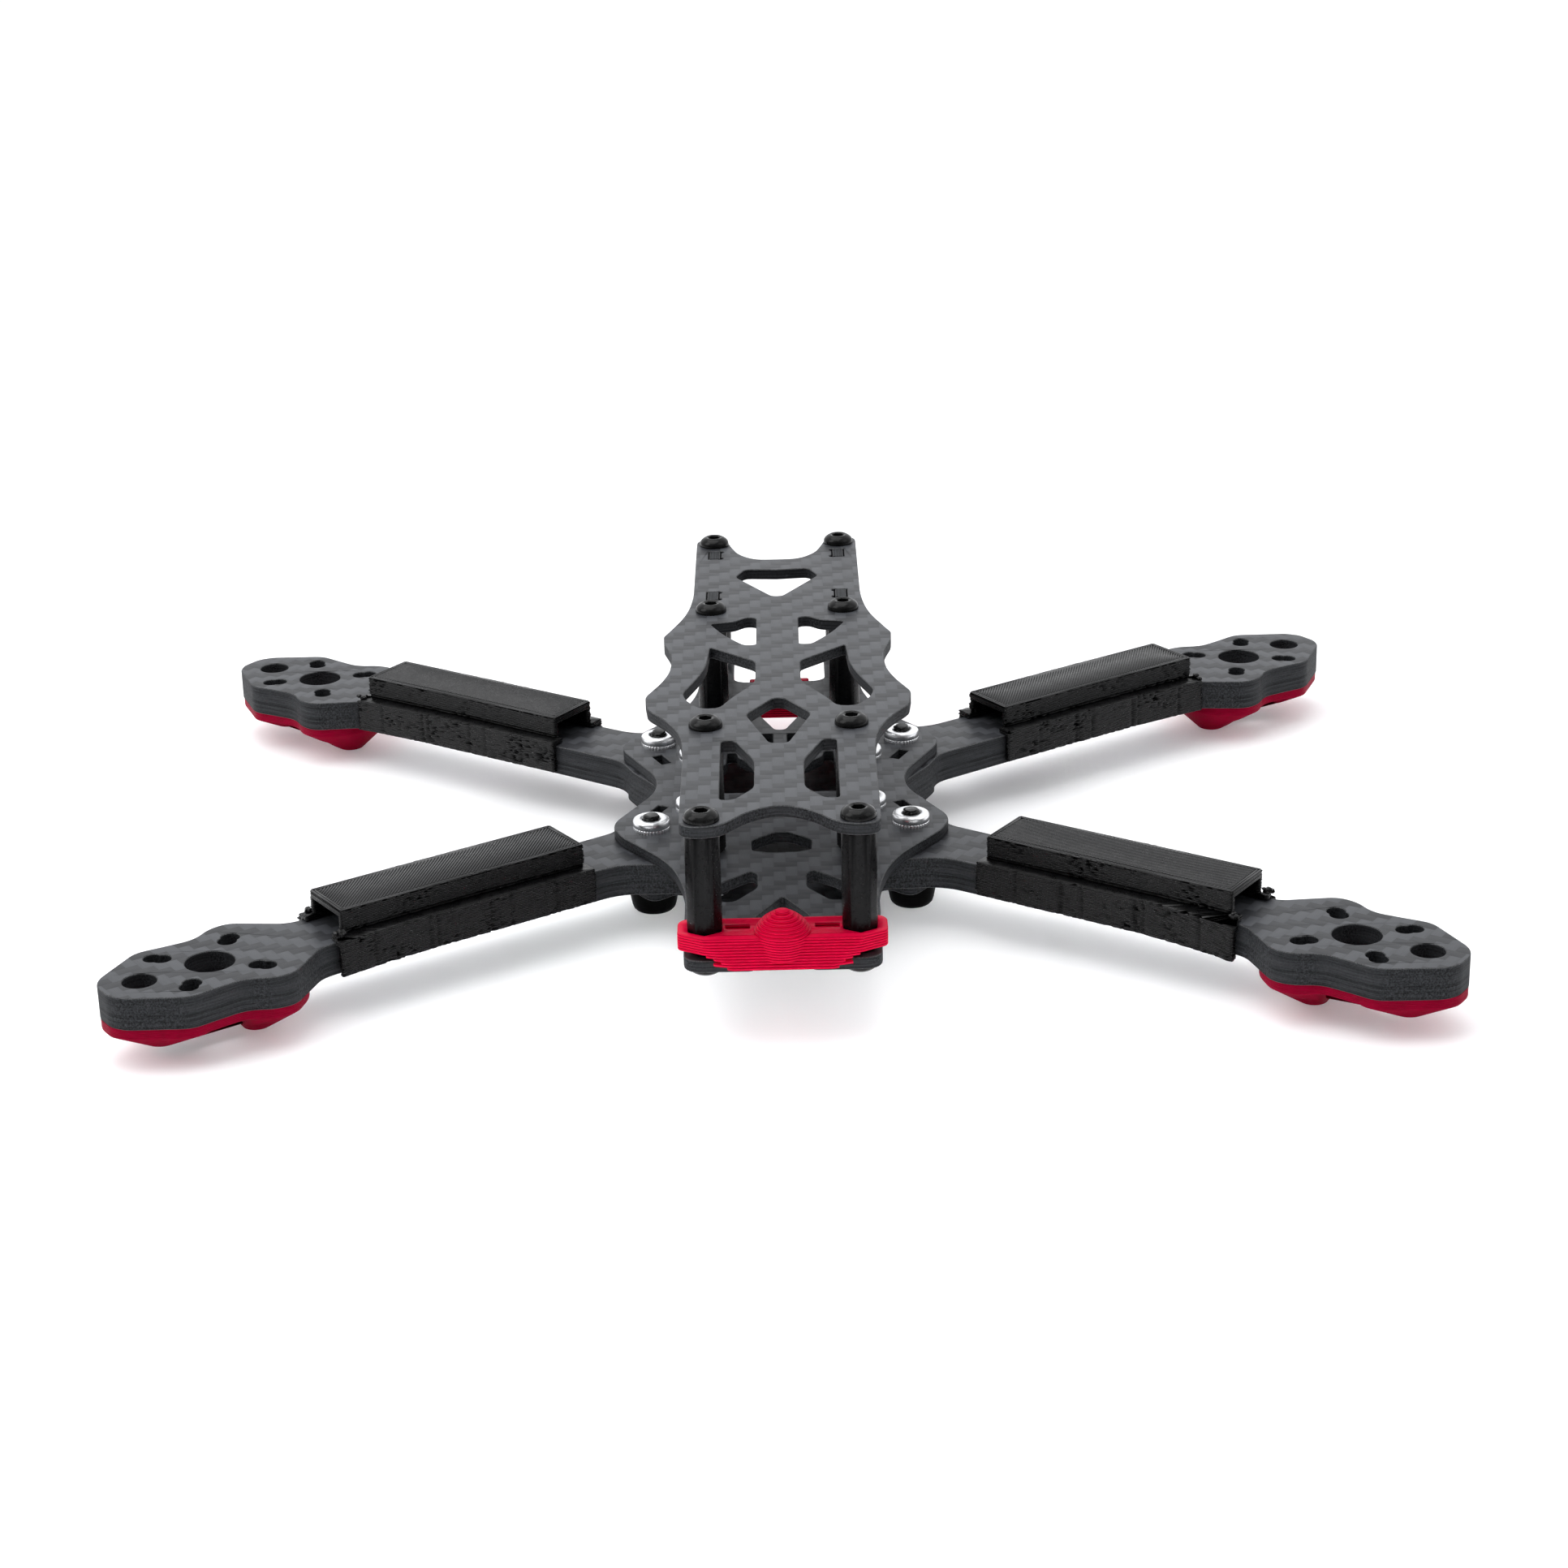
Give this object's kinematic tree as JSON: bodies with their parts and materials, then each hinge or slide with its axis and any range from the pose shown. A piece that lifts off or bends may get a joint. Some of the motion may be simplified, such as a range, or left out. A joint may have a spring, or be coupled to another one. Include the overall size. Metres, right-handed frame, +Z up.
{
  "type": "quadcopter frame",
  "caption": "Bare quadcopter airframe: carbon arms and plates, hex standoffs, printed arm sleeves, motor guards and bumpers; no motors or electronics.",
  "frame": {"origin": "on the ground under the middle of the four motor centres", "axes": "+X right, +Y forward to the nose, +Z up"},
  "size_m": [0.2138, 0.161, 0.0386],
  "materials": {
    "carbon": "satin woven carbon laminate",
    "black_print": "layered print, satin",
    "red_print": "layered flexible print, satin",
    "foot_rubber": "matte",
    "post_black": "black anodised, satin",
    "black_steel": "black oxide, semi-gloss",
    "zinc": "bright zinc plate"
  },
  "bodies": {
    "root": {"top_plate": "carbon", "mid_plate": "carbon", "bottom_plate": "carbon", "tail_bumper": "red_print", "nose_bumper": "red_print", "inner_screws": "black_steel", "inner_nuts": "zinc", "camera_plate_left": "carbon", "camera_plate_right": "carbon", "arm_front_left": "carbon", "arm_front_right": "carbon", "arm_rear_left": "carbon", "arm_rear_right": "carbon", "arm_sleeve_front_left": "black_print", "arm_sleeve_front_right": "black_print", "arm_sleeve_rear_left": "black_print", "arm_sleeve_rear_right": "black_print", "motor_guard_front_left": "red_print", "motor_guard_front_right": "red_print", "motor_guard_rear_left": "red_print", "motor_guard_rear_right": "red_print", "foot_front_left": "foot_rubber", "foot_front_right": "foot_rubber", "foot_rear_left": "foot_rubber", "foot_rear_right": "foot_rubber", "arm_screw_front_left": "black_steel", "arm_screw_front_right": "black_steel", "arm_screw_rear_left": "black_steel", "arm_screw_rear_right": "black_steel", "arm_nut_front_left": "zinc", "arm_nut_front_right": "zinc", "arm_nut_rear_left": "zinc", "arm_nut_rear_right": "zinc", "standoff_nose_left": "post_black", "standoff_nose_right": "post_black", "standoff_fore_left": "post_black", "standoff_fore_right": "post_black", "standoff_aft_left": "post_black", "standoff_aft_right": "post_black", "standoff_tail_left": "post_black", "standoff_tail_right": "post_black", "top_screw_nose_left": "black_steel", "top_screw_nose_right": "black_steel", "top_screw_fore_left": "black_steel", "top_screw_fore_right": "black_steel", "top_screw_aft_left": "black_steel", "top_screw_aft_right": "black_steel", "top_screw_tail_left": "black_steel", "top_screw_tail_right": "black_steel", "base_screw_nose_left": "black_steel", "base_screw_nose_right": "black_steel", "base_screw_fore_left": "black_steel", "base_screw_fore_right": "black_steel", "base_screw_aft_left": "black_steel", "base_screw_aft_right": "black_steel", "base_screw_tail_left": "black_steel", "base_screw_tail_right": "black_steel"}
  },
  "joints": []
}
